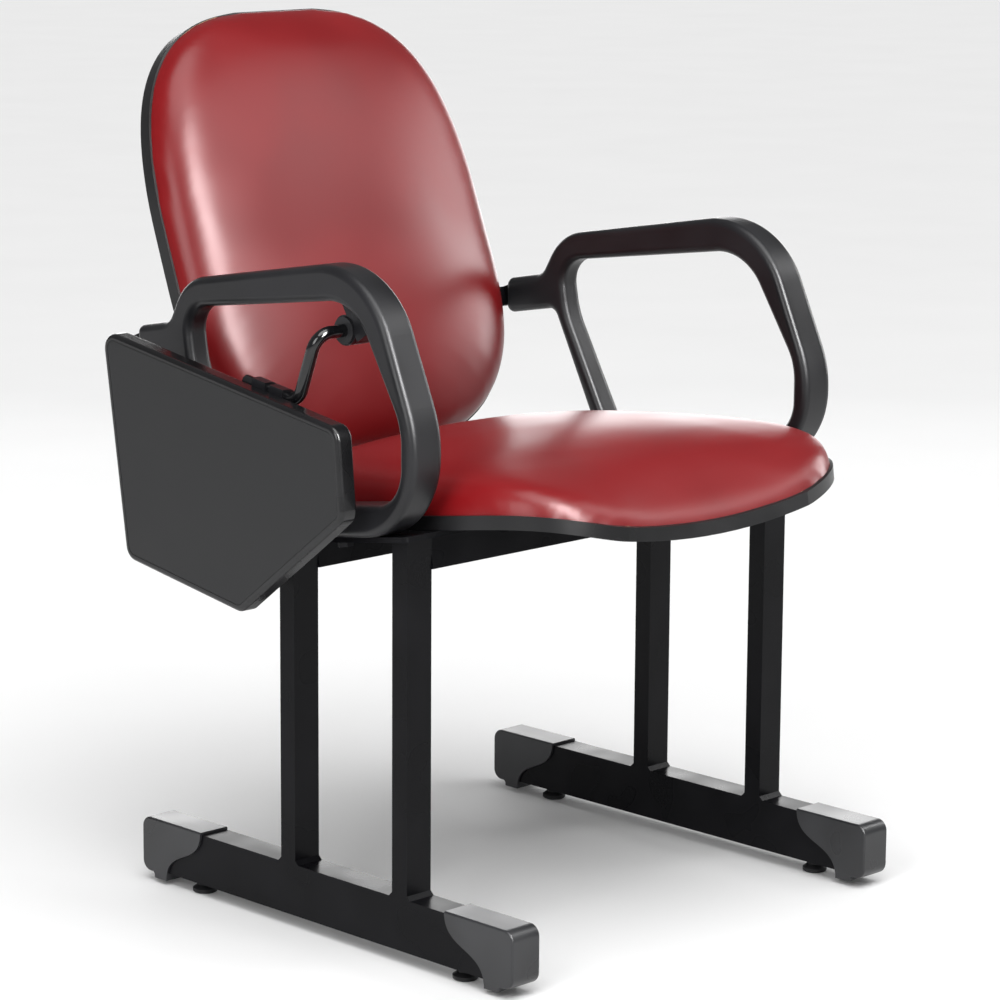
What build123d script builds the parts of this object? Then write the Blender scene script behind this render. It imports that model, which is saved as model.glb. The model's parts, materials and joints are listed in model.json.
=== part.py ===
from build123d import *
from math import atan2, cos, radians, sin, sqrt, tan
import os

# Auditorium chair with a swing-up writing tablet on the sitter's right arm.
# Millimetres, +Z up. The sitter faces -Y, so the sitter's right hand is at -X.
# Sizes are given from the point on the floor midway between the feet, at the middle of their length.
# Finished pieces are shifted so that the origin is on the floor at the middle of the chair's box.

os.makedirs("parts", exist_ok=True)

# Foot beams, posts and cross beams: welded rectangular tube
beam_width = 30.0
beam_height = 50.0
beam_length = 506.0
beam_spacing = 485.4
tube_wall = 1.5
floor_gap = 12.0
post_depth = 20.0
post_front_y = -109.0
post_rear_y = 44.5
cross_depth = 20.0
cross_height = 30.0
weld_leg = 4.0

# Plastic caps on the ends of the foot beams
cap_wall = 2.5
cap_end = 5.5
cap_top_length = 88.0
cap_low_length = 36.0
cap_corner = 11.0
cap_edge = 2.0
cap_fit = 0.1
cap_pad_start = 17.0
cap_pad_height = 5.0
cap_pad_round = 3.0

# Levelling glides
glide_front_inset = 72.0
glide_rear_inset = 69.0
glide_radius = 12.0
glide_disc = 7.0
glide_lip = 1.0
glide_shoulder_width = 4.0
glide_shoulder_height = 3.0
glide_neck_flats = 14.0
glide_stem_radius = 4.0
glide_stem_length = 34.0
glide_nut_flats = 13.0
glide_nut_height = 8.0

# Fits and hardware
running_gap = 0.05
hole_gap = 0.3
m6_radius = 3.0
m6_head_radius = 5.5
m6_head_height = 4.0
socket_flats = 4.0
socket_depth = 2.4
m8_radius = 4.0
m8_head_flats = 13.0
m8_head_height = 5.5
tee_barrel_radius = 4.2
tee_flange_radius = 9.0
tee_flange = 1.2
insert_radius = 6.5
insert_length = 20.0
soft_gap = 0.3
bolt_shortfall = 2.0

# Seat: everything on it is tilted, with the front edge high
seat_tilt = 8.5
frame_top = 380.0
plate_thickness = 5.0
plate_inner_x = 150.0
plate_overhang = 43.0
plate_front = -132.0
plate_rear = 96.0
seat_width = 456.0
seat_front = -268.0
seat_rear = 166.0
seat_dip = 36.0
seat_dip_start = -120.0
seat_front_squareness = 4.4
seat_rear_squareness = 3.2
pan_floor = 3.0
pan_wall = 3.5
pan_rim = 13.0
pan_crown = 0.6
seat_edge = 26.0
seat_rear_rise = 26.0
edge_fade = 5.0
seat_crown = 19.0
seat_side_draw = 16.0
seat_side_ease = 1.4
seat_rim_show = 1.5
seat_bolt_x = 172.0
seat_bolt_spots = (-68.0, 14.0)

# Backrest: leaned back, its rim plane passes through this point
back_lean = 21.0
back_y = 260.0
back_z = 591.0
back_width = 420.0
back_top = 263.0
back_bottom = -200.0
back_widest = -10.0
back_low_squareness = 2.7
back_high_squareness = 3.1
back_rim = 14.0
back_dome = 15.0
dome_fade = 3.0
least_bow = 1.0
back_wall = 3.5
back_edge = 24.0
back_crown = 20.0
crown_fade = 2.5
waist_bias = 0.25
back_edge_least = 4.0
back_side_draw = 34.0
back_side_swell = 0.25
back_side_turn = 0.62
back_rim_show = 1.5
back_ply = 10.0
boss_radius = 11.0
back_bolt_spots = (124.0, 164.0)

# Arms: closed loops that toe in towards the rear, with a stub that reaches behind the backrest
arm_clear_front = 17.0
arm_clear_rear = 8.0
arm_depth_front = 40.0
arm_depth_rear = 22.0
arm_front_y = -160.0
arm_rear_y = 300.0
arm_round = 7.5
arm_bar = 30.0
arm_top_y = -87.5
arm_top_z = 650.0
arm_top_radius = 92.0
arm_chin_y = -153.0
arm_chin_z = 502.0
arm_chin_radius = 105.0
arm_toe_radius = 80.0
arm_heel_y = 110.0
arm_heel_radius = 14.0
arm_elbow_y = 189.5
arm_elbow_z = 526.4
arm_elbow_radius = 12.0
arm_shoulder_y = 183.0
arm_shoulder_z = 604.0
arm_shoulder_radius = 55.0
arm_neck_y = 208.0
arm_neck_z = 560.0
arm_neck_radius = 20.0
stub_end = 258.0
stub_slope = 10.2
stub_radius = 8.0
stub_clear = 20.5
hole_top_y = -67.5
hole_top_z = 611.5
hole_top_radius = 60.0
hole_strut_rise = 1.6
hole_chin_y = -134.0
hole_chin_radius = 60.0
hole_toe_radius = 38.0
hole_heel_y = 105.0
hole_heel_radius = 16.0
hole_back_y = 180.0
hole_back_z = 577.0
hole_back_radius = 26.0
hole_bend_y = 171.0
hole_bend_z = 524.0
hole_bend_radius = 90.0
arm_bolt_clear = 29.0
arm_bolt_spots = (-36.0, 72.0)
bracket_thickness = 5.0
bracket_height = 20.0
bracket_front = 27.0
bracket_level = -54.0
bracket_reach = 40.0
bracket_inner_x = 112.0

# Tablet pivot on the right arm and the bent rod that carries the tablet
hub_y = -41.0
hub_z = 580.0
hub_radius = 14.0
hub_clear = 34.0
hub_length = 24.0
block_clear = 28.0
block_top = 30.0
block_face = 30.0
flange_start = 16.0
flange_end = 48.0
flange_face = 12.0
block_root = 25.0
block_bolt_spots = (24.0, 40.0)
block_bolt_depth = 14.0
bush_wall = 3.0
bush_flange = 2.0
bush_flange_radius = 12.5
rod_radius = 6.0
rod_bend = 16.0
rod_thread_radius = 5.0
rod_clear = 68.0
rod_run = 72.0
knee_y = -16.0
washer_radius = 11.0
washer_thickness = 2.0
pivot_nut_flats = 17.0
pivot_nut_height = 8.0
end_play = 0.2
thread_show = 2.0

# Tablet, stowed upright outside the right arm
board_thickness = 18.0
board_gap = 2.0
board_corner = 15.0
board_seam = 0.6
edging_width = 6.0
edging_round = 4.0
board_slope = 9.0
board_above_rod = 2.0
board_front_y = -96.0
board_front_z = 504.2
board_rear_y = 234.4
board_chin_y = -103.5
board_chin_z = 422.3
board_belly_y = 36.7
board_belly_z = 315.2
board_heel_y = 201.3
board_heel_z = 341.3
strap_width = 18.0
strap_thickness = 2.5
strap_foot = 26.0
strap_spots = (23.0, 47.0)
screw_spots = (16.0, 28.0)
screw_radius = 2.0
screw_head_radius = 4.0
screw_head_height = 2.4
screw_depth = 12.0

# Frames of the tilted seat, the leaned back and the tablet's hinge line
tilt = radians(seat_tilt)
lean = radians(back_lean)
slope = radians(board_slope)
seat_plane = Plane((0, 0, frame_top), x_dir=(1, 0, 0), z_dir=(0, sin(tilt), cos(tilt)))
seat_cut = Plane((0, 0, frame_top), x_dir=(1, 0, 0), z_dir=(0, -cos(tilt), sin(tilt)))
seat_side = Plane((0, 0, frame_top), x_dir=(0, cos(tilt), -sin(tilt)), z_dir=(1, 0, 0))
back_plane = Plane((0, back_y, back_z), x_dir=(1, 0, 0), z_dir=(0, sin(lean), cos(lean)))
back_face = Plane((0, back_y, back_z), x_dir=(1, 0, 0), z_dir=(0, -cos(lean), sin(lean)))
post_x = beam_spacing / 2
beam_top = floor_gap + beam_height
pan_bottom = plate_thickness + soft_gap
pan_top = pan_bottom + pan_rim
sides = {"right": -1, "left": 1}
feet = {"front": glide_front_inset - beam_length / 2, "rear": beam_length / 2 - glide_rear_inset}
posts = {"front": post_front_y, "rear": post_rear_y}

# Places across the chair, measured out from the sides of the seat
seat_edge_x = seat_width / 2
plate_outer_x = seat_edge_x + plate_overhang
arm_inner_front = seat_edge_x + arm_clear_front
arm_inner_rear = seat_edge_x + arm_clear_rear
arm_outer_front = arm_inner_front + arm_depth_front
arm_outer_rear = arm_inner_rear + arm_depth_rear
arm_bolt_x = seat_edge_x + arm_bolt_clear
stub_x = seat_edge_x + stub_clear
block_x = -seat_edge_x - block_clear
hub_outer_x = -seat_edge_x - hub_clear
rod_x = -seat_edge_x - rod_clear
board_inner_x = rod_x - rod_radius - board_gap
box_x = (arm_outer_front + board_inner_x - board_thickness) / 2
box_y = (seat_front * cos(tilt) + back_y + back_top * sin(lean) + back_rim * cos(lean)) / 2


def save(piece, name):
    """Shift a finished piece to the chair's origin, name it and store it."""
    piece.part.label = name
    piece.part.locate(Location((-box_x, -box_y, 0)))
    export_step(piece.part, f"parts/{name}.step")


def seat_level(y, height):
    """Height above the floor of a line parallel to the tilted seat, at depth y."""
    return frame_top + height / cos(tilt) - y * tan(tilt)


# Foot beams, each with holes underneath for its two glides
for side, sign in sides.items():
    with BuildPart() as foot_beam:
        with BuildSketch(Plane.XZ.offset(-beam_length / 2)):
            with Locations((sign * post_x, floor_gap + beam_height / 2)):
                Rectangle(beam_width, beam_height)
                Rectangle(beam_width - 2 * tube_wall, beam_height - 2 * tube_wall, mode=Mode.SUBTRACT)
        extrude(amount=beam_length)
        with BuildSketch(Plane.XY.offset(floor_gap)):
            with Locations(*[(sign * post_x, y) for y in feet.values()]):
                Circle(glide_stem_radius + hole_gap)
        extrude(amount=tube_wall, mode=Mode.SUBTRACT)
    save(foot_beam, f"foot_beam_{side}")

# Caps: sleeves over the beam ends, with an S-shaped inner edge and a pad underneath
for side, sign in sides.items():
    for end, y_sign in (("front", -1), ("rear", 1)):
        tip = y_sign * (beam_length / 2 + cap_end)
        cap_bottom = floor_gap - cap_wall
        cap_top = beam_top + cap_wall
        low_y = tip - y_sign * cap_low_length
        top_y = tip - y_sign * cap_top_length
        pad_start = tip - y_sign * cap_pad_start
        pad_bottom = cap_bottom - cap_pad_height
        with BuildPart() as foot_cap:
            with BuildSketch(Plane.YZ.offset(sign * post_x - beam_width / 2 - cap_wall)):
                with BuildLine():
                    FilletPolyline((low_y, pad_bottom), (pad_start, pad_bottom), (pad_start, cap_bottom),
                                   (tip, cap_bottom), (tip, cap_top), (top_y, cap_top),
                                   radius=[cap_pad_round, cap_pad_round, cap_corner, cap_corner])
                    Spline((top_y, cap_top), (low_y, pad_bottom), tangents=((0, -1), (0, -1)))
                make_face()
            extrude(amount=beam_width + 2 * cap_wall)
            flanks = foot_cap.faces().filter_by(Axis.X).sort_by(Axis.X)
            rims = flanks[0].edges() + flanks[-1].edges()
            fillet([rim for rim in rims if rim.center().Z > floor_gap
                    and rim.geom_type != GeomType.BSPLINE], radius=cap_edge)
            with BuildSketch(Plane.XZ.offset(-y_sign * beam_length / 2)):
                with Locations((sign * post_x, floor_gap + beam_height / 2)):
                    Rectangle(beam_width + 2 * cap_fit, beam_height + 2 * cap_fit)
            extrude(amount=y_sign * cap_top_length, mode=Mode.SUBTRACT)
        save(foot_cap, f"foot_cap_{end}_{side}")

# Glides: a disc, a hexagonal neck that stops on the beam, and a stem in a welded nut
for side, sign in sides.items():
    for end, y in feet.items():
        with BuildPart() as glide:
            with BuildSketch(Plane.XZ.offset(-y)):
                with BuildLine():
                    middle = sign * post_x
                    rim = middle + glide_radius
                    Polyline((middle, 0), (rim - glide_lip, 0), (rim, glide_lip),
                             (rim, glide_disc - glide_shoulder_height),
                             (rim - glide_shoulder_width, glide_disc), (middle, glide_disc), close=True)
                make_face()
            revolve(axis=Axis((sign * post_x, y, 0), (0, 0, 1)))
            with BuildSketch(Plane.XY.offset(glide_disc)):
                with Locations((sign * post_x, y)):
                    RegularPolygon(glide_neck_flats / 2, 6, major_radius=False)
            extrude(amount=floor_gap - glide_disc)
            with BuildSketch(Plane.XY.offset(floor_gap)):
                with Locations((sign * post_x, y)):
                    Circle(glide_stem_radius)
            extrude(amount=glide_stem_length)
        save(glide, f"glide_{end}_{side}")

with BuildPart() as glide_nuts:
    for sign in sides.values():
        for y in feet.values():
            with BuildSketch(Plane.XY.offset(floor_gap + tube_wall)):
                with Locations((sign * post_x, y)):
                    RegularPolygon(glide_nut_flats / 2, 6, major_radius=False)
                    Circle(glide_stem_radius + running_gap, mode=Mode.SUBTRACT)
            extrude(amount=glide_nut_height)
save(glide_nuts, "glide_nuts")

# Posts, cut off along the tilted top of the frame, and their weld beads
for side, sign in sides.items():
    for end, y in posts.items():
        with BuildPart() as post:
            with BuildSketch(Plane.XY.offset(beam_top)):
                with Locations((sign * post_x, y)):
                    Rectangle(beam_width, post_depth)
                    Rectangle(beam_width - 2 * tube_wall, post_depth - 2 * tube_wall, mode=Mode.SUBTRACT)
            extrude(amount=frame_top)
            split(bisect_by=seat_plane, keep=Keep.BOTTOM)
        save(post, f"post_{end}_{side}")

with BuildPart() as post_welds:
    for sign in sides.values():
        for y in posts.values():
            for way in (-1, 1):
                root = y + way * post_depth / 2
                with BuildSketch(Plane.YZ.offset(sign * post_x - beam_width / 2)):
                    with BuildLine():
                        Polyline((root, beam_top), (root + way * weld_leg, beam_top),
                                 (root, beam_top + weld_leg), close=True)
                    make_face()
                extrude(amount=beam_width)
save(post_welds, "post_welds")

# Cross beams between the posts, square to the tilted seat
cross_length = beam_spacing - beam_width
for end, y in posts.items():
    centre = (y + cross_height / 2 * sin(tilt)) / cos(tilt)
    with BuildPart() as cross_beam:
        with BuildSketch(seat_side.offset(-cross_length / 2)):
            with Locations((centre, -cross_height / 2)):
                Rectangle(cross_depth, cross_height)
                Rectangle(cross_depth - 2 * tube_wall, cross_height - 2 * tube_wall, mode=Mode.SUBTRACT)
        extrude(amount=cross_length)
    save(cross_beam, f"cross_beam_{end}")

# Flat steel plates that carry the seat and the arms
for side, sign in sides.items():
    with BuildPart() as side_plate:
        with BuildSketch(seat_plane):
            with Locations((sign * (plate_inner_x + plate_outer_x) / 2, (plate_front + plate_rear) / 2)):
                RectangleRounded(plate_outer_x - plate_inner_x, plate_rear - plate_front, plate_thickness)
            with Locations(*[(sign * arm_bolt_x, spot) for spot in arm_bolt_spots]):
                Circle(m8_radius + hole_gap, mode=Mode.SUBTRACT)
            with Locations(*[(sign * seat_bolt_x, spot) for spot in seat_bolt_spots]):
                Circle(m6_radius + hole_gap, mode=Mode.SUBTRACT)
        extrude(amount=plate_thickness)
    save(side_plate, f"side_plate_{side}")

# Seat: stations along its depth, closer together towards the rounded ends
seat_middle = (seat_front + seat_rear) / 2
seat_half = (seat_rear - seat_front) / 2
seat_stations = (-0.985, -0.94, -0.84, -0.68, -0.45, -0.1, 0.3, 0.62, 0.84, 0.95, 0.99)


def seat_outline(station):
    """Half the seat's width at a station from -1 at the front to 1 at the rear."""
    squareness = seat_front_squareness if station < 0 else seat_rear_squareness
    return seat_edge_x * (1 - abs(station) ** squareness) ** (1 / squareness)


def seat_drop(depth, x):
    """How far the waterfall front lowers the seat at a depth and a distance from the middle."""
    share = max(0.0, (seat_dip_start - depth) / (seat_dip_start - seat_front))
    return seat_dip * share ** 2 * (1 - (2 * x / seat_width) ** 2)


def seat_rim(station, inset):
    """Depth, half width and the pan's underside at its edge and middle, for a section across the seat."""
    depth = seat_middle + station * (seat_half - inset)
    half = seat_outline(station) - inset
    edge = pan_bottom - seat_drop(depth, half)
    middle = pan_bottom - seat_drop(depth, 0) + pan_crown
    return depth, half, edge, middle


def seat_band(half, edge, middle, low, high):
    """Lines around a band between two heights above the pan's underside."""
    ThreePointArc((-half, edge + low), (0, middle + low), (half, edge + low))
    Line((half, edge + low), (half, edge + high))
    ThreePointArc((half, edge + high), (0, middle + high), (-half, edge + high))
    Line((-half, edge + high), (-half, edge + low))


seat_bolt_places = [(sign * seat_bolt_x, spot) for sign in sides.values() for spot in seat_bolt_spots]
with BuildPart() as seat_shell:
    for station in seat_stations:
        depth, half, edge, middle = seat_rim(station, 0)
        with BuildSketch(seat_cut.offset(-depth)):
            with BuildLine():
                seat_band(half, edge, middle, 0, pan_rim)
            make_face()
    loft()
    for station in seat_stations:
        depth, half, edge, middle = seat_rim(station, pan_wall)
        with BuildSketch(seat_cut.offset(-depth)):
            with BuildLine():
                seat_band(half, edge, middle, pan_floor, pan_floor + pan_rim)
            make_face()
    loft(mode=Mode.SUBTRACT)
    with BuildSketch(seat_plane):
        with Locations(*seat_bolt_places):
            Circle(m6_radius + hole_gap)
    extrude(amount=pan_top, mode=Mode.SUBTRACT)
save(seat_shell, "seat_shell")

# Moulded plywood that fills the pan, with a tee nut for each seat bolt
tee_low = pan_bottom + pan_floor + pan_crown + soft_gap
with BuildPart() as seat_plywood:
    for station in seat_stations:
        depth, half, edge, middle = seat_rim(station, pan_wall + soft_gap)
        with BuildSketch(seat_cut.offset(-depth)):
            with BuildLine():
                seat_band(half, edge, middle, pan_floor + soft_gap, pan_rim)
            make_face()
    loft()
    with BuildSketch(seat_plane):
        with Locations(*seat_bolt_places):
            Circle(tee_barrel_radius)
    extrude(amount=2 * pan_top, mode=Mode.SUBTRACT)
    with BuildSketch(seat_plane.offset(pan_top - tee_flange)):
        with Locations(*seat_bolt_places):
            Circle(tee_flange_radius)
    extrude(amount=pan_rim, mode=Mode.SUBTRACT)
save(seat_plywood, "seat_plywood")

with BuildPart() as seat_tee_nuts:
    for place in seat_bolt_places:
        with BuildSketch(seat_plane.offset(tee_low)):
            with Locations(place):
                Circle(tee_barrel_radius)
        extrude(amount=pan_top - tee_low)
        with BuildSketch(seat_plane.offset(pan_top)):
            with Locations(place):
                Circle(tee_flange_radius)
        extrude(amount=-tee_flange)
        with BuildSketch(seat_plane):
            with Locations(place):
                Circle(m6_radius + running_gap)
        extrude(amount=2 * pan_top, mode=Mode.SUBTRACT)
save(seat_tee_nuts, "seat_tee_nuts")

with BuildPart() as seat_bolts:
    for place in seat_bolt_places:
        with BuildSketch(seat_plane):
            with Locations(place):
                Circle(m6_head_radius)
        extrude(amount=-m6_head_height)
        with BuildSketch(seat_plane.offset(-m6_head_height)):
            with Locations(place):
                RegularPolygon(socket_flats / 2, 6, major_radius=False)
        extrude(amount=socket_depth, mode=Mode.SUBTRACT)
        with BuildSketch(seat_plane):
            with Locations(place):
                Circle(m6_radius)
        extrude(amount=pan_top - tee_flange)
save(seat_bolts, "seat_bolts")

# Seat cushion: sides drawn in towards a crowned top, thinner at the front and rear
with BuildPart() as seat_cushion:
    for station in seat_stations:
        depth, half, edge, middle = seat_rim(station, seat_rim_show)
        edge = edge + pan_rim + soft_gap
        middle = middle + pan_rim + soft_gap
        height = seat_edge + seat_rear_rise * (1 + station) / 2
        height = height * sqrt(1 - abs(station) ** edge_fade)
        side_top = edge + height
        side_middle = half - seat_side_ease
        crown = middle + height + seat_crown * (1 - station ** 2)
        top_half = half - seat_side_draw
        with BuildSketch(seat_cut.offset(-depth)):
            with BuildLine():
                ThreePointArc((-half, edge), (0, middle), (half, edge))
                ThreePointArc((half, edge), (side_middle, (edge + side_top) / 2), (top_half, side_top))
                ThreePointArc((top_half, side_top), (0, crown), (-top_half, side_top))
                ThreePointArc((-top_half, side_top), (-side_middle, (edge + side_top) / 2), (-half, edge))
            make_face()
    loft()
save(seat_cushion, "seat_cushion")

# Backrest: stations up its height
back_stations = (-0.985, -0.93, -0.8, -0.55, -0.2, 0.2, 0.5, 0.74, 0.9, 0.97, 0.995)


def back_outline(level):
    """Half the backrest's width at a level above the rim plane's reference point."""
    if level < back_widest:
        share = (level - back_widest) / (back_bottom - back_widest)
        squareness = back_low_squareness
    else:
        share = (level - back_widest) / (back_top - back_widest)
        squareness = back_high_squareness
    return back_width / 2 * (1 - share ** squareness) ** (1 / squareness)


def back_section(station, inset):
    """Level and half width of a section across the backrest, inset from its rim."""
    level = (back_top + back_bottom) / 2 + station * ((back_top - back_bottom) / 2 - inset)
    return level, back_outline(level) - inset


def back_band(half, bow, dome):
    """Lines around a band that is flat in front and bowed behind, from the rim plane to a depth."""
    Line((-half, 0), (half, 0))
    Line((half, 0), (half, bow))
    ThreePointArc((half, bow), (0, bow + dome), (-half, bow))
    Line((-half, bow), (-half, 0))


back_bolt_places = [(sign * spot, bracket_level) for sign in sides.values() for spot in back_bolt_spots]
with BuildPart() as back_shell:
    for station in back_stations:
        level, half = back_section(station, 0)
        dome = least_bow + back_dome * (1 - abs(station) ** dome_fade)
        with BuildSketch(back_plane.offset(level)):
            with BuildLine():
                back_band(half, back_rim, dome)
            make_face()
    loft()
    for station in back_stations:
        level, half = back_section(station, back_wall)
        dome = least_bow + back_dome * (1 - abs(station) ** dome_fade)
        with BuildSketch(back_plane.offset(level)):
            with BuildLine():
                back_band(half, back_rim - back_wall, dome)
            make_face()
    loft(mode=Mode.SUBTRACT)
    with BuildSketch(back_face.offset(-bracket_front)):
        with Locations(*back_bolt_places):
            Circle(boss_radius)
    extrude(amount=bracket_front - back_ply)
    with BuildSketch(back_face.offset(-bracket_front)):
        with Locations(*back_bolt_places):
            Circle(m6_radius + hole_gap)
    extrude(amount=bracket_front, mode=Mode.SUBTRACT)
save(back_shell, "back_shell")

# Flat plywood inside the rim, against the bosses, with a tee nut for each bolt
with BuildPart() as back_plywood:
    for station in back_stations:
        level, half = back_section(station, back_wall + soft_gap)
        with BuildSketch(back_plane.offset(level)):
            with Locations((0, back_ply / 2)):
                Rectangle(2 * half, back_ply)
    loft()
    with BuildSketch(back_face.offset(-back_ply)):
        with Locations(*back_bolt_places):
            Circle(tee_barrel_radius)
    extrude(amount=back_ply, mode=Mode.SUBTRACT)
    with BuildSketch(back_face):
        with Locations(*back_bolt_places):
            Circle(tee_flange_radius)
    extrude(amount=-tee_flange, mode=Mode.SUBTRACT)
save(back_plywood, "back_plywood")

with BuildPart() as back_tee_nuts:
    for place in back_bolt_places:
        with BuildSketch(back_face):
            with Locations(place):
                Circle(tee_barrel_radius)
        extrude(amount=-back_ply)
        with BuildSketch(back_face):
            with Locations(place):
                Circle(tee_flange_radius)
        extrude(amount=-tee_flange)
        with BuildSketch(back_face):
            with Locations(place):
                Circle(m6_radius + running_gap)
        extrude(amount=-back_ply, mode=Mode.SUBTRACT)
save(back_tee_nuts, "back_tee_nuts")

bracket_back = bracket_front + bracket_thickness
with BuildPart() as back_bolts:
    for place in back_bolt_places:
        with BuildSketch(back_face.offset(-bracket_back)):
            with Locations(place):
                Circle(m6_head_radius)
        extrude(amount=-m6_head_height)
        with BuildSketch(back_face.offset(-bracket_back - m6_head_height)):
            with Locations(place):
                RegularPolygon(socket_flats / 2, 6, major_radius=False)
        extrude(amount=socket_depth, mode=Mode.SUBTRACT)
        with BuildSketch(back_face.offset(-bracket_back)):
            with Locations(place):
                Circle(m6_radius)
        extrude(amount=bracket_back - tee_flange)
save(back_bolts, "back_bolts")

# Back cushion: fullest a little below the middle, where it supports the waist
with BuildPart() as back_cushion:
    for station in back_stations:
        level, half = back_section(station, back_rim_show)
        fullness = sqrt(1 - abs(station) ** edge_fade)
        side_front = -back_edge * fullness - back_edge_least
        fade = (1 - abs(station) ** crown_fade) * (1 - waist_bias * station)
        crown = side_front - least_bow - back_crown * fade
        front_half = half - back_side_draw
        side_half = half - back_side_draw * back_side_swell
        turn = side_front * back_side_turn
        with BuildSketch(back_plane.offset(level)):
            with BuildLine():
                Line((-half, 0), (half, 0))
                ThreePointArc((half, 0), (side_half, turn), (front_half, side_front))
                ThreePointArc((front_half, side_front), (0, crown), (-front_half, side_front))
                ThreePointArc((-front_half, side_front), (-side_half, turn), (-half, 0))
            make_face()
    loft()
save(back_cushion, "back_cushion")

# Arms: outline and gap of the loop in the side view, as corners and their radii
arm_sole = plate_thickness
stub_rise = tan(radians(stub_slope))
arm_corners = {
    (arm_top_y, arm_top_z): arm_top_radius,
    (arm_chin_y, arm_chin_z): arm_chin_radius,
    (arm_chin_y, seat_level(arm_chin_y, arm_sole)): arm_toe_radius,
    (arm_heel_y, seat_level(arm_heel_y, arm_sole)): arm_heel_radius,
    (arm_elbow_y, arm_elbow_z): arm_elbow_radius,
    (stub_end, arm_elbow_z - (stub_end - arm_elbow_y) * stub_rise): stub_radius,
    (stub_end, arm_neck_z - (stub_end - arm_neck_y) * stub_rise): stub_radius,
    (arm_neck_y, arm_neck_z): arm_neck_radius,
    (arm_shoulder_y, arm_shoulder_z): arm_shoulder_radius,
}
hole_chin_z = hole_top_z - (hole_top_y - hole_chin_y) * hole_strut_rise
hole_corners = {
    (hole_top_y, hole_top_z): hole_top_radius,
    (hole_chin_y, hole_chin_z): hole_chin_radius,
    (hole_chin_y, seat_level(hole_chin_y, arm_sole + arm_bar)): hole_toe_radius,
    (hole_heel_y, seat_level(hole_heel_y, arm_sole + arm_bar)): hole_heel_radius,
    (hole_bend_y, hole_bend_z): hole_bend_radius,
    (hole_back_y, hole_back_z): hole_back_radius,
}

# Frame of the pivot block: along the front strut's inner face and out from it
strut_dir = Vector(0, hole_chin_y - hole_top_y, hole_chin_z - hole_top_z).normalized()
strut_out = Vector(0, -strut_dir.Z, strut_dir.Y)
hub_offset = Vector(0, hub_y - hole_top_y, hub_z - hole_top_z)
hub_along = hub_offset.dot(strut_dir)
block_bolt_along = [hub_along + spot for spot in block_bolt_spots]


def strut_at(along):
    """Plane on the front strut's inner face, at a distance down from the loop's top corner."""
    origin = Vector(block_x, hole_top_y, hole_top_z) + strut_dir * along
    return Plane(origin, x_dir=(1, 0, 0), z_dir=strut_out)


def strut_point(along, out):
    """Side-view point at a distance along the strut and out from its inner face."""
    point = strut_at(along).origin + strut_out * out
    return (point.Y, point.Z)


def bracket_outline(sign, inner, ease):
    """Plan of a bracket, square to the leaned back: in from the stub, then forward inside it."""
    start = bracket_front
    stop = bracket_front + bracket_thickness
    with Locations((sign * (inner + stub_x) / 2, (start + stop) / 2)):
        Rectangle(stub_x - inner + bracket_thickness + 2 * ease, bracket_thickness + 2 * ease)
    with Locations((sign * stub_x, stop - bracket_reach / 2)):
        Rectangle(bracket_thickness + 2 * ease, bracket_reach + 2 * ease)


for side, sign in sides.items():
    with BuildPart() as arm:
        with BuildSketch(Plane.YZ):
            with BuildLine():
                FilletPolyline(*arm_corners, radius=list(arm_corners.values()), close=True)
            make_face()
            with BuildLine():
                FilletPolyline(*hole_corners, radius=list(hole_corners.values()), close=True)
            make_face(mode=Mode.SUBTRACT)
        extrude(amount=sign * (arm_outer_front + arm_round))
        faces_at = ((arm_outer_front, arm_outer_rear, 1), (arm_inner_front, arm_inner_rear, -1))
        for front_x, rear_x, way in faces_at:
            toe_in = atan2(front_x - rear_x, arm_rear_y - arm_front_y)
            flank = Plane((sign * front_x, arm_front_y, 0), x_dir=(0, 0, 1),
                          z_dir=(sign * way * cos(toe_in), way * sin(toe_in), 0))
            split(bisect_by=flank, keep=Keep.BOTTOM)
        flanks = arm.faces().sort_by(Axis.X)
        fillet(flanks[0].edges() + flanks[-1].edges(), radius=arm_round)
        with BuildSketch(seat_plane.offset(arm_sole)):
            with Locations(*[(sign * arm_bolt_x, spot) for spot in arm_bolt_spots]):
                Circle(insert_radius)
        extrude(amount=insert_length, mode=Mode.SUBTRACT)
        with BuildSketch(back_plane.offset(bracket_level - bracket_height / 2)):
            bracket_outline(sign, arm_inner_rear - bracket_reach, hole_gap)
        extrude(amount=bracket_height, mode=Mode.SUBTRACT)
        if side == "right":
            for along in block_bolt_along:
                with BuildSketch(strut_at(along).offset(flange_face)):
                    Circle(m6_radius + running_gap)
                extrude(amount=-flange_face - block_bolt_depth, mode=Mode.SUBTRACT)
    save(arm, f"arm_{side}")

# Threaded inserts in the sole of each arm, and the bolts that come up through the plates
with BuildPart() as arm_inserts:
    for sign in sides.values():
        for spot in arm_bolt_spots:
            with BuildSketch(seat_plane.offset(arm_sole)):
                with Locations((sign * arm_bolt_x, spot)):
                    Circle(insert_radius)
                    Circle(m8_radius + running_gap, mode=Mode.SUBTRACT)
            extrude(amount=insert_length)
save(arm_inserts, "arm_inserts")

with BuildPart() as arm_bolts:
    for sign in sides.values():
        for spot in arm_bolt_spots:
            with BuildSketch(seat_plane.offset(-m8_head_height)):
                with Locations((sign * arm_bolt_x, spot)):
                    RegularPolygon(m8_head_flats / 2, 6, major_radius=False)
            extrude(amount=m8_head_height)
            with BuildSketch(seat_plane):
                with Locations((sign * arm_bolt_x, spot)):
                    Circle(m8_radius)
            extrude(amount=plate_thickness + insert_length - bolt_shortfall)
save(arm_bolts, "arm_bolts")

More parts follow.
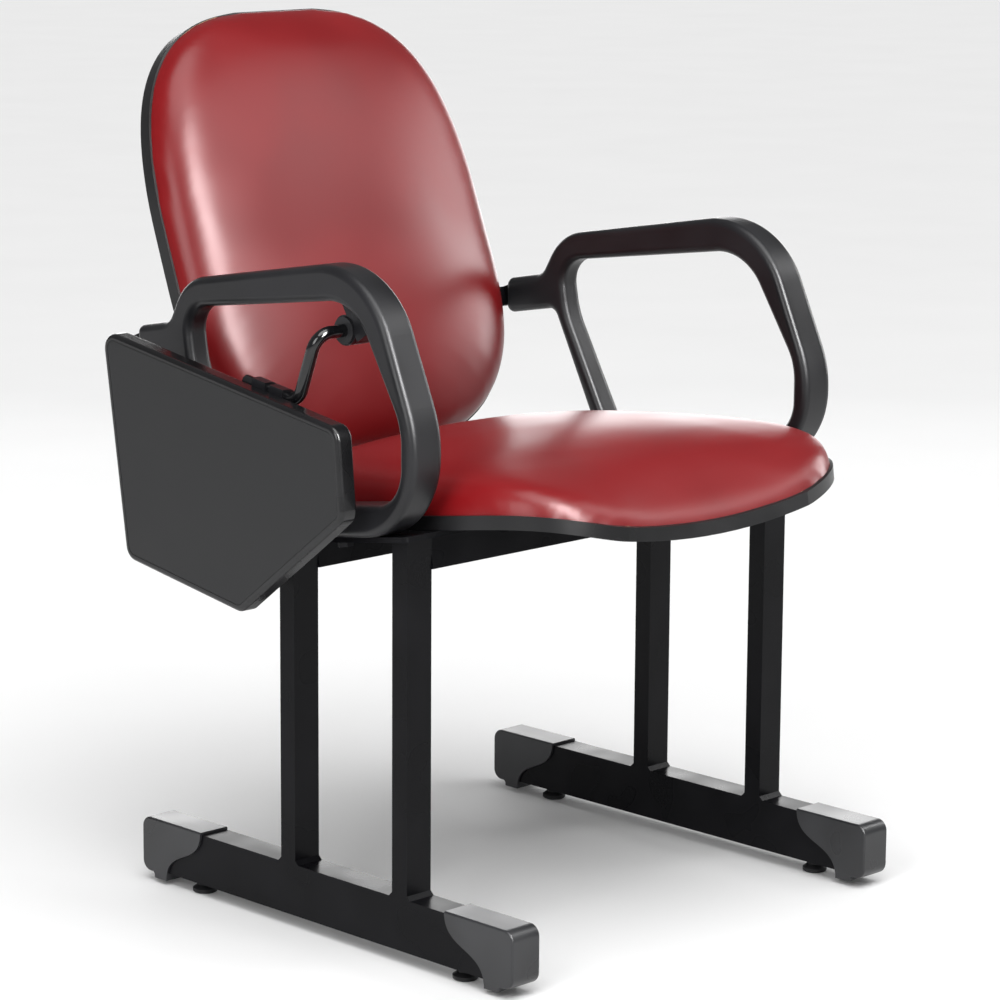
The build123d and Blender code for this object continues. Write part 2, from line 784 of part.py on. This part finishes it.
# Flat steel brackets from the arm stubs to the bosses behind the backrest
for side, sign in sides.items():
    with BuildPart() as back_bracket:
        with BuildSketch(back_plane.offset(bracket_level - bracket_height / 2)):
            bracket_outline(sign, bracket_inner_x, 0)
        extrude(amount=bracket_height)
        with BuildSketch(back_face.offset(-bracket_back)):
            with Locations(*[(sign * spot, bracket_level) for spot in back_bolt_spots]):
                Circle(m6_radius + hole_gap)
        extrude(amount=bracket_thickness, mode=Mode.SUBTRACT)
    save(back_bracket, f"back_bracket_{side}")

# Pivot block: fills the loop's front top corner and carries the hub
with BuildPart() as pivot_block:
    with BuildSketch(Plane.YZ.offset(hub_outer_x)):
        with BuildLine():
            FilletPolyline(*hole_corners, radius=list(hole_corners.values()), close=True)
        make_face()
        offset(amount=-hole_gap)
        with BuildLine():
            block = [(-block_top, -block_root), (flange_end, -block_root), (flange_end, flange_face),
                     (flange_start, flange_face), (flange_start, block_face), (-block_top, block_face)]
            Polyline(*[strut_point(hub_along + along, out) for along, out in block], close=True)
        make_face(mode=Mode.INTERSECT)
        with Locations((hub_y, hub_z)):
            Circle(hub_radius)
            Circle(rod_radius + bush_wall, mode=Mode.SUBTRACT)
    extrude(amount=hub_length)
    for along in block_bolt_along:
        with BuildSketch(strut_at(along)):
            Circle(m6_radius + hole_gap)
        extrude(amount=flange_face, mode=Mode.SUBTRACT)
save(pivot_block, "pivot_block")

with BuildPart() as pivot_bolts:
    for along in block_bolt_along:
        with BuildSketch(strut_at(along).offset(flange_face)):
            Circle(m6_head_radius)
        extrude(amount=m6_head_height)
        with BuildSketch(strut_at(along).offset(flange_face + m6_head_height)):
            RegularPolygon(socket_flats / 2, 6, major_radius=False)
        extrude(amount=-socket_depth, mode=Mode.SUBTRACT)
        with BuildSketch(strut_at(along).offset(-block_bolt_depth)):
            Circle(m6_radius)
        extrude(amount=block_bolt_depth + flange_face)
save(pivot_bolts, "pivot_bolts")

with BuildPart() as pivot_bush:
    with BuildSketch(Plane.YZ.offset(hub_outer_x)):
        with Locations((hub_y, hub_z)):
            Circle(rod_radius + bush_wall)
            Circle(rod_radius + running_gap, mode=Mode.SUBTRACT)
    extrude(amount=hub_length)
    with BuildSketch(Plane.YZ.offset(hub_outer_x)):
        with Locations((hub_y, hub_z)):
            Circle(bush_flange_radius)
            Circle(rod_radius + running_gap, mode=Mode.SUBTRACT)
    extrude(amount=-bush_flange)
save(pivot_bush, "pivot_bush")


def board_edge(y):
    """Height of the stowed board's top edge at depth y."""
    return board_front_z + (y - board_front_y) * tan(slope)


# Bent rod: out through the hub, down the leg, then back along the tablet's top edge
knee_z = board_edge(knee_y) - board_above_rod / cos(slope)
shoulder_x = hub_outer_x + hub_length + end_play
rod_end = (rod_x, knee_y + rod_run * cos(slope), knee_z + rod_run * sin(slope))
with BuildPart() as tablet_rod:
    with BuildLine():
        FilletPolyline((shoulder_x, hub_y, hub_z), (rod_x, hub_y, hub_z), (rod_x, knee_y, knee_z), rod_end,
                       radius=rod_bend)
    with BuildSketch(Plane((shoulder_x, hub_y, hub_z), x_dir=(0, 1, 0), z_dir=(-1, 0, 0))):
        Circle(rod_radius)
    sweep()
    with BuildSketch(Plane.YZ.offset(shoulder_x)):
        with Locations((hub_y, hub_z)):
            Circle(rod_thread_radius)
    extrude(amount=washer_thickness + pivot_nut_height + thread_show)
save(tablet_rod, "tablet_rod")

with BuildPart() as pivot_washer:
    with BuildSketch(Plane.YZ.offset(shoulder_x)):
        with Locations((hub_y, hub_z)):
            Circle(washer_radius)
            Circle(rod_thread_radius + running_gap, mode=Mode.SUBTRACT)
    extrude(amount=washer_thickness)
save(pivot_washer, "pivot_washer")

with BuildPart() as pivot_nut:
    with BuildSketch(Plane.YZ.offset(shoulder_x + washer_thickness)):
        with Locations((hub_y, hub_z)):
            RegularPolygon(pivot_nut_flats / 2, 6, major_radius=False)
            Circle(rod_thread_radius + running_gap, mode=Mode.SUBTRACT)
    extrude(amount=pivot_nut_height)
save(pivot_nut, "pivot_nut")

# Tablet: a board with a cut corner that clears the sitter when it is in use
board_corners = [
    (board_rear_y, board_edge(board_rear_y)),
    (board_front_y, board_front_z),
    (board_chin_y, board_chin_z),
    (board_belly_y, board_belly_z),
    (board_heel_y, board_heel_z),
]
screw_places = [(spot, across) for spot in strap_spots for across in screw_spots]


def hinge_at(spot):
    """Plane square to the rod's long run, at a distance from its knee: X across, Y down the board."""
    origin = (rod_x, knee_y + spot * cos(slope), knee_z + spot * sin(slope))
    return Plane(origin, x_dir=(1, 0, 0), z_dir=(0, cos(slope), sin(slope)))


def screw_plane(spot, across):
    """Plane on the board's inner face, at a distance along the rod and across it."""
    origin = hinge_at(spot).from_local_coords(Vector(-rod_radius - board_gap, across, 0))
    return Plane(origin, x_dir=(0, 1, 0), z_dir=(1, 0, 0))


with BuildPart() as tablet_board:
    with BuildSketch(Plane.YZ.offset(board_inner_x)):
        with BuildLine():
            FilletPolyline(*board_corners, radius=board_corner, close=True)
        make_face()
        offset(amount=-edging_width)
    extrude(amount=-board_thickness)
    chamfer(tablet_board.faces().sort_by(Axis.X)[0].edges(), length=board_seam)
    chamfer(tablet_board.faces().sort_by(Axis.X)[-1].edges(), length=board_seam)
    for spot, across in screw_places:
        with BuildSketch(screw_plane(spot, across)):
            Circle(screw_radius + running_gap)
        extrude(amount=-screw_depth, mode=Mode.SUBTRACT)
save(tablet_board, "tablet_board")

# Moulded edging all round the board
with BuildPart() as tablet_edging:
    with BuildSketch(Plane.YZ.offset(board_inner_x)):
        with BuildLine():
            FilletPolyline(*board_corners, radius=board_corner, close=True)
        make_face()
    extrude(amount=-board_thickness)
    fillet(tablet_edging.faces().sort_by(Axis.X)[0].edges(), radius=edging_round)
    fillet(tablet_edging.faces().sort_by(Axis.X)[-1].edges(), radius=edging_round / 2)
    with BuildSketch(Plane.YZ.offset(board_inner_x)):
        with BuildLine():
            FilletPolyline(*board_corners, radius=board_corner, close=True)
        make_face()
        offset(amount=-edging_width)
    extrude(amount=-board_thickness, mode=Mode.SUBTRACT)
save(tablet_edging, "tablet_edging")

# Clips that hold the rod against the board: a loop round the rod and a doubled foot
strap_half = rod_radius + running_gap + strap_thickness
board_side = rod_radius + board_gap
for name, spot in zip(("front", "rear"), strap_spots):
    with BuildPart() as tablet_strap:
        with BuildSketch(hinge_at(spot - strap_width / 2)):
            Circle(strap_half)
            with Locations((-board_side / 2, 0)):
                Rectangle(board_side, 2 * strap_half)
            with Locations((-board_side - strap_half / 2, 0)):
                Rectangle(strap_half, 2 * strap_half, mode=Mode.SUBTRACT)
            with Locations((strap_thickness - board_side, (strap_half + strap_foot) / 2)):
                Rectangle(2 * strap_thickness, strap_half + strap_foot)
            Circle(rod_radius + running_gap, mode=Mode.SUBTRACT)
        extrude(amount=strap_width)
        for across in screw_spots:
            with BuildSketch(screw_plane(spot, across)):
                Circle(screw_radius + hole_gap)
            extrude(amount=2 * strap_thickness, mode=Mode.SUBTRACT)
    save(tablet_strap, f"tablet_strap_{name}")

with BuildPart() as tablet_screws:
    for spot, across in screw_places:
        with BuildSketch(screw_plane(spot, across).offset(2 * strap_thickness)):
            Circle(screw_head_radius)
        extrude(amount=screw_head_height)
        with BuildSketch(screw_plane(spot, across).offset(2 * strap_thickness)):
            Circle(screw_radius)
        extrude(amount=-2 * strap_thickness - screw_depth + running_gap)
save(tablet_screws, "tablet_screws")
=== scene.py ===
import json
import math

import bpy
from mathutils import Matrix, Vector
from mathutils.bvhtree import BVHTree


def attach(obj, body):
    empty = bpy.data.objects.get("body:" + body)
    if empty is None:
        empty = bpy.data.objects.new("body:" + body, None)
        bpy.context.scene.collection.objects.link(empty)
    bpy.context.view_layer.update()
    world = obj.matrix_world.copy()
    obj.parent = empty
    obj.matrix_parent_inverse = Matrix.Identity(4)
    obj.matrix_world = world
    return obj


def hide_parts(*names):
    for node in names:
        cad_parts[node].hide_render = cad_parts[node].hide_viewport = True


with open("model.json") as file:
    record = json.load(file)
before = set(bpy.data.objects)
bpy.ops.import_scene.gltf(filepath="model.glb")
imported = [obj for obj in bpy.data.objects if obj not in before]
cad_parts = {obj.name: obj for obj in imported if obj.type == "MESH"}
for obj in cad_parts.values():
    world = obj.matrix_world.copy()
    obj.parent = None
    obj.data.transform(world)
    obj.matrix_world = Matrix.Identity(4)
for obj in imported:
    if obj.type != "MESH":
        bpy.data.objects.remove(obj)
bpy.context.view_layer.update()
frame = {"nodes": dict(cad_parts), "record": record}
scene = bpy.context.scene
scene.view_settings.view_transform = "Standard"

# Camera at the photograph's place: metres and degrees, and millimetres for the lens
camera_place = (-2.44305, -2.51357, 1.07661)
camera_swing = -44.74
camera_drop = 11.18
camera_roll = 0.39
sensor_width = 36.0
focal_length = 132.148
frame_shift_x = -0.00172
frame_shift_y = -0.00573
view_depth = 50.0

# Floor and general light
floor_size = 30.0
floor_drop = 0.0005
floor_base = (0.9, 0.9, 0.9)
floor_dark = (0.88, 0.88, 0.88)
floor_light = (0.92, 0.92, 0.92)
world_colour = (1.0, 1.0, 1.0, 1.0)
world_strength = 0.22
sun_strength = 2.5
sun_width = 50.0
sun_heading = (0.2, 0.35, -1.0)

# Places that the lamps look at
chair_middle = (0.0, 0.0, 0.5)
side_middle = (0.0, 0.1, 0.6)
back_middle = (0.0, 0.2, 0.6)

# Materials: most of a noise's values lie between these two
noise_low = 0.3
noise_high = 0.7
dust_low = 0.35
dust_high = 0.75
coat_rough = 0.12

# Pads: metres, and shares where a face's turn is measured
pad_pitch = 0.0055
pad_tuck = 0.012
pad_skirt = 0.006
seat_spread = 0.0
seat_swell = 0.003
back_spread = 0.0012
back_swell = 0.0022
flat_turn = 0.8
underside_turn = -0.6
point_digits = 6

# Cloth of the pads, and the smoothing before and after it
cloth_pressure = 1.5
cloth_tension = 8.0
cloth_compression = 3.0
cloth_shear = 3.0
cloth_bending = 25.0
cloth_frames = 14
smooth_share = 0.5
rounds_before = 8
rounds_after = 24


# Materials: every one is procedural and measured in metres in the part's own frame

def shader(name, base, rough, metallic=0.0, coat=0.0, specular=0.5):
    """Makes a plain material, and gives it with its tree, its shader and its coordinates."""
    made = bpy.data.materials.new(name)
    made.use_nodes = True
    tree = made.node_tree
    tree.nodes.clear()
    out = tree.nodes.new("ShaderNodeOutputMaterial")
    skin = tree.nodes.new("ShaderNodeBsdfPrincipled")
    tree.links.new(skin.outputs["BSDF"], out.inputs["Surface"])
    skin.inputs["Base Color"].default_value = (*base, 1)
    skin.inputs["Roughness"].default_value = rough
    skin.inputs["Metallic"].default_value = metallic
    skin.inputs["Coat Weight"].default_value = coat
    skin.inputs["Coat Roughness"].default_value = coat_rough
    skin.inputs["Specular IOR Level"].default_value = specular
    place = tree.nodes.new("ShaderNodeTexCoord")
    return made, tree, skin, place.outputs["Object"]


def noise(tree, where, scale, detail=3.0, rough=0.55):
    """A noise of so many waves a metre."""
    node = tree.nodes.new("ShaderNodeTexNoise")
    node.inputs["Scale"].default_value = scale
    node.inputs["Detail"].default_value = detail
    node.inputs["Roughness"].default_value = rough
    tree.links.new(where, node.inputs["Vector"])
    return node.outputs["Fac"]


def ramp(tree, value, out_low=0.0, out_high=1.0, low=noise_low, high=noise_high):
    """Brings a value from one range to another, with soft ends."""
    node = tree.nodes.new("ShaderNodeMapRange")
    node.interpolation_type = "SMOOTHSTEP"
    tree.links.new(value, node.inputs["Value"])
    ends = {"From Min": low, "From Max": high, "To Min": out_low, "To Max": out_high}
    for socket, number in ends.items():
        node.inputs[socket].default_value = number
    return node.outputs["Result"]


def tint(tree, skin, share, dark, light):
    """Colours a shader between two tones."""
    node = tree.nodes.new("ShaderNodeMix")
    node.data_type = "RGBA"
    tree.links.new(share, node.inputs["Factor"])
    node.inputs["A"].default_value = (*dark, 1)
    node.inputs["B"].default_value = (*light, 1)
    tree.links.new(node.outputs["Result"], skin.inputs["Base Color"])


def roughen(tree, skin, value, low, high):
    """Varies a shader's roughness with a noise."""
    tree.links.new(ramp(tree, value, low, high), skin.inputs["Roughness"])


def relief(tree, skin, *layers):
    """Stacks bump layers of (height, strength, distance in metres)."""
    below = None
    for height, strength, distance in layers:
        node = tree.nodes.new("ShaderNodeBump")
        node.inputs["Strength"].default_value = strength
        node.inputs["Distance"].default_value = distance
        tree.links.new(height, node.inputs["Height"])
        if below is not None:
            tree.links.new(below, node.inputs["Normal"])
        below = node.outputs["Normal"]
    tree.links.new(below, skin.inputs["Normal"])
    tree.links.new(below, skin.inputs["Coat Normal"])


def scaled(colour, share, lift=0.0):
    """A lighter or darker tone of a colour."""
    return tuple(channel * share + lift for channel in colour)


def vinyl():
    """Upholstery vinyl: slow changes of tone and gloss, low waves and a fine grain."""
    made, tree, skin, at = shader("vinyl_red", (0.22, 0.0045, 0.007), rough=0.34, specular=0.36)
    grain = noise(tree, at, scale=420, detail=2)
    broad = noise(tree, at, scale=9, detail=1)
    tint(tree, skin, ramp(tree, broad), dark=(0.205, 0.004, 0.006), light=(0.24, 0.005, 0.0075))
    roughen(tree, skin, broad, low=0.31, high=0.37)
    relief(tree, skin, (broad, 0.1, 0.002), (grain, 0.05, 0.0001))
    return made


def moulded(name, base, rough, grain_scale, grain, coat=0.0, vary=0.25, specular=0.3):
    """Moulded plastic with an even, fine grain."""
    made, tree, skin, at = shader(name, base, rough, coat=coat, specular=specular)
    broad = noise(tree, at, scale=14, detail=1)
    tint(tree, skin, ramp(tree, broad), dark=scaled(base, 1 - vary), light=scaled(base, 1 + vary))
    roughen(tree, skin, broad, low=rough - 0.05, high=rough + 0.05)
    relief(tree, skin, (noise(tree, at, grain_scale, detail=4, rough=0.65), grain, 0.00015))
    return made


def painted(name, base, rough, coat=0.0, specular=0.25):
    """Sprayed paint on steel: an orange-peel surface with a trace of dust."""
    made, tree, skin, at = shader(name, base, rough, coat=coat, specular=specular)
    peel = noise(tree, at, scale=320, detail=2)
    dust = noise(tree, at, scale=16, detail=1)
    dusty = ramp(tree, dust, low=dust_low, high=dust_high)
    tint(tree, skin, dusty, dark=base, light=scaled(base, 1.5, lift=0.001))
    roughen(tree, skin, dust, low=rough - 0.05, high=rough + 0.08)
    relief(tree, skin, (peel, 0.12, 0.0002))
    return made


def plated(name, base, rough):
    """Zinc-plated steel, duller where it is worn."""
    made, tree, skin, at = shader(name, base, rough, metallic=1.0)
    wear = noise(tree, at, scale=160, detail=4)
    tint(tree, skin, ramp(tree, wear), dark=scaled(base, 0.75), light=base)
    roughen(tree, skin, wear, low=rough - 0.08, high=rough + 0.1)
    relief(tree, skin, (noise(tree, at, scale=900), 0.08, 0.0001))
    return made


def veneer():
    """Plywood with a wavy wood grain."""
    made, tree, skin, at = shader("plywood", (0.4, 0.26, 0.14), rough=0.6)
    wave = tree.nodes.new("ShaderNodeTexWave")
    wave.inputs["Scale"].default_value = 60
    wave.inputs["Distortion"].default_value = 6
    tree.links.new(at, wave.inputs["Vector"])
    tint(tree, skin, wave.outputs["Fac"], dark=(0.3, 0.18, 0.09), light=(0.46, 0.31, 0.18))
    relief(tree, skin, (wave.outputs["Fac"], 0.1, 0.0002))
    return made


looks = {
    "vinyl_red": vinyl(),
    "shell_black": moulded("shell_black", (0.01, 0.01, 0.011), rough=0.32, grain_scale=420, grain=0.08,
                           specular=0.4),
    "arm_black": moulded("arm_black", (0.012, 0.012, 0.014), rough=0.36, grain_scale=450, grain=0.1,
                         specular=0.35),
    "frame_black": painted("frame_black", (0.004, 0.004, 0.005), rough=0.3, specular=0.1),
    "cap_grey": moulded("cap_grey", (0.026, 0.0265, 0.029), rough=0.32, grain_scale=420, grain=0.08,
                        specular=0.5),
    "glide_black": moulded("glide_black", (0.01, 0.01, 0.011), rough=0.5, grain_scale=600, grain=0.1),
    "tablet_grey": moulded("tablet_grey", (0.014, 0.0143, 0.0153), rough=0.45, grain_scale=420, grain=0.1,
                           vary=0.12, specular=0.4),
    "edge_black": moulded("edge_black", (0.008, 0.008, 0.009), rough=0.26, grain_scale=500, grain=0.06,
                          coat=0.3),
    "rod_black": painted("rod_black", (0.006, 0.006, 0.007), rough=0.16, coat=0.6),
    "zinc_steel": plated("zinc_steel", (0.55, 0.55, 0.57), rough=0.32),
    "black_steel": painted("black_steel", (0.012, 0.012, 0.014), rough=0.3),
    "plywood": veneer(),
    "bush_nylon": moulded("bush_nylon", (0.02, 0.02, 0.022), rough=0.4, grain_scale=500, grain=0.1),
}
node_slot = {row["node"]: row["material_slot"] for row in frame["record"]["subparts"]}
for node, thing in frame["nodes"].items():
    thing.data.materials.clear()
    thing.data.materials.append(looks[node_slot[node]])


# Camera, floor and light

def photo_camera():
    """The camera, turned by its swing, drop and roll, with the photograph's slightly off-centre frame."""
    swing = math.radians(camera_swing)
    drop = math.radians(camera_drop)
    roll = math.radians(camera_roll)
    ahead = Vector((-math.sin(swing) * math.cos(drop), math.cos(swing) * math.cos(drop), -math.sin(drop)))
    level_right = ahead.cross(Vector((0, 0, 1))).normalized()
    level_up = level_right.cross(ahead)
    right = level_right * math.cos(roll) + level_up * math.sin(roll)
    up = level_up * math.cos(roll) - level_right * math.sin(roll)
    lens = bpy.data.cameras.new("camera")
    lens.sensor_width = sensor_width
    lens.lens = focal_length
    lens.shift_x = frame_shift_x
    lens.shift_y = frame_shift_y
    lens.clip_end = view_depth
    lens.dof.use_dof = False
    camera = bpy.data.objects.new("camera", lens)
    turn = Matrix((right, up, -ahead)).transposed().to_4x4()
    camera.matrix_world = Matrix.Translation(Vector(camera_place)) @ turn
    scene.collection.objects.link(camera)
    scene.camera = camera


def pale_floor():
    """A wide floor just under the glides."""
    bpy.ops.mesh.primitive_plane_add(size=floor_size, location=(0, 0, -floor_drop))
    floor = bpy.context.object
    floor.name = "floor"
    ground, tree, skin, at = shader("floor", floor_base, rough=0.7, specular=0.1)
    tint(tree, skin, noise(tree, at, scale=3, detail=2), floor_dark, floor_light)
    floor.data.materials.append(ground)


def general_light():
    """A dim white surround and a broad, soft light from above."""
    world = bpy.data.worlds.new("studio")
    scene.world = world
    world.use_nodes = True
    surround = world.node_tree.nodes["Background"]
    surround.inputs["Color"].default_value = world_colour
    surround.inputs["Strength"].default_value = world_strength
    sun = bpy.data.objects.new("sky", bpy.data.lights.new("sky", "SUN"))
    sun.data.energy = sun_strength
    sun.data.angle = math.radians(sun_width)
    sun.rotation_euler = Vector(sun_heading).to_track_quat("-Z", "Y").to_euler()
    scene.collection.objects.link(sun)


def lamp(name, at, aim, size, watts, gloss_only=False):
    """A soft box; one that is gloss only makes a highlight and lights nothing else."""
    data = bpy.data.lights.new(name, "AREA")
    data.shape = "RECTANGLE"
    data.size, data.size_y = size
    data.energy = watts
    thing = bpy.data.objects.new(name, data)
    thing.location = at
    thing.visible_camera = False
    thing.visible_diffuse = not gloss_only
    thing.rotation_euler = (Vector(aim) - Vector(at)).to_track_quat("-Z", "Y").to_euler()
    scene.collection.objects.link(thing)


photo_camera()
pale_floor()
general_light()
lamp("back_card", (1.9, 2.1, 0.8), chair_middle, size=(3.0, 0.9), watts=34, gloss_only=True)
lamp("front_box", (1.9, -1.8, 2.6), back_middle, size=(1.7, 1.1), watts=20)
lamp("side_box", (2.4, -0.6, 1.1), side_middle, size=(0.5, 1.2), watts=24, gloss_only=True)
lamp("strip_box", (-0.3, -2.4, 1.9), back_middle, size=(0.9, 1.7), watts=190, gloss_only=True)
lamp("near_box", (-2.4, -0.9, 1.5), chair_middle, size=(1.2, 1.4), watts=30)


# Pads: blown up by cloth from a copy of the cushion, held by a skirt that is tucked into the shell

def facing(node, way):
    """The way a node's flat side faces, taken from its faces that turn towards a rough direction."""
    total = Vector()
    for face in frame["nodes"][node].data.polygons:
        if face.normal.dot(Vector(way)) > flat_turn:
            total += face.normal * face.area
    return total.normalized()


def underside(mesh, up):
    """The faces of a mesh that look away from its padded side."""
    return [face for face in mesh.polygons if face.normal.dot(up) < underside_turn]


def rounded(corner):
    """A point's place, the same for all points that share it."""
    return tuple(round(number, point_digits) for number in corner.co)


def tuck_in(mesh, up):
    """Lowers a mesh's underside into the shell, and gives the lowered faces to measure from."""
    low_places = {rounded(mesh.vertices[index]) for face in underside(mesh, up) for index in face.vertices}
    for corner in mesh.vertices:
        if rounded(corner) in low_places:
            corner.co -= up * pad_tuck
    places = [corner.co for corner in mesh.vertices]
    return BVHTree.FromPolygons(places, [face.vertices for face in underside(mesh, up)])


def even_mesh(thing):
    """Gives a thing an even mesh, fine enough for cloth."""
    remesh = thing.modifiers.new("remesh", "REMESH")
    remesh.mode = "VOXEL"
    remesh.voxel_size = pad_pitch
    bpy.ops.object.modifier_apply(modifier="remesh")


def spread_and_hold(thing, up, bottom, spread):
    """Moves the points outwards, and marks those near the bottom as the held skirt."""
    held = thing.vertex_groups.new(name="held")
    outward = [corner.normal.copy() for corner in thing.data.vertices]
    for corner, way in zip(thing.data.vertices, outward):
        corner.co += way * spread
        nearest = bottom.find_nearest(corner.co)[0]
        if (corner.co - nearest).dot(up) < pad_skirt:
            held.add([corner.index], 1.0, "REPLACE")


def soften(thing, rounds):
    """Smooths everything but the held skirt."""
    soft = thing.modifiers.new("soft", "SMOOTH")
    soft.factor = smooth_share
    soft.iterations = rounds
    soft.vertex_group = "held"
    soft.invert_vertex_group = True
    bpy.ops.object.modifier_apply(modifier="soft")


def blow_up(thing, swell):
    """Swells a thing under pressure, by no more than the given distance at any point."""
    start = [corner.co.copy() for corner in thing.data.vertices]
    cloth = thing.modifiers.new("cloth", "CLOTH")
    cloth.settings.use_pressure = True
    cloth.settings.uniform_pressure_force = cloth_pressure
    cloth.settings.tension_stiffness = cloth_tension
    cloth.settings.compression_stiffness = cloth_compression
    cloth.settings.shear_stiffness = cloth_shear
    cloth.settings.bending_stiffness = cloth_bending
    cloth.settings.effector_weights.gravity = 0
    cloth.settings.vertex_group_mass = "held"
    cloth.point_cache.frame_start = 1
    cloth.point_cache.frame_end = cloth_frames
    for step in range(1, cloth_frames + 1):
        scene.frame_set(step)
    bpy.ops.object.modifier_apply(modifier="cloth")
    scene.frame_set(1)
    for corner, place in zip(thing.data.vertices, start):
        move = corner.co - place
        if move.length > swell:
            corner.co = place + move * (swell / move.length)


def cushion(node, name, up, spread, swell):
    """Makes the pad that stands for a cushion's solid."""
    thing = bpy.data.objects.new(name, frame["nodes"][node].data.copy())
    scene.collection.objects.link(thing)
    bpy.context.view_layer.objects.active = thing
    thing.select_set(True)
    bottom = tuck_in(thing.data, up)
    even_mesh(thing)
    spread_and_hold(thing, up, bottom, spread)
    soften(thing, rounds_before)
    blow_up(thing, swell)
    soften(thing, rounds_after)
    thing.select_set(False)
    mesh = thing.data
    mesh.polygons.foreach_set("use_smooth", [True] * len(mesh.polygons))
    mesh.materials.clear()
    mesh.materials.append(looks["vinyl_red"])
    fine = thing.modifiers.new("fine", "SUBSURF")
    fine.levels = 1
    fine.render_levels = 1
    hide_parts(node)
    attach(thing, "chair")


cushion("seat_cushion", "seat_pad", facing("side_plate_left", (0, 0, 1)), seat_spread, seat_swell)
cushion("back_cushion", "back_pad", facing("back_plywood", (0, -1, 0)), back_spread, back_swell)
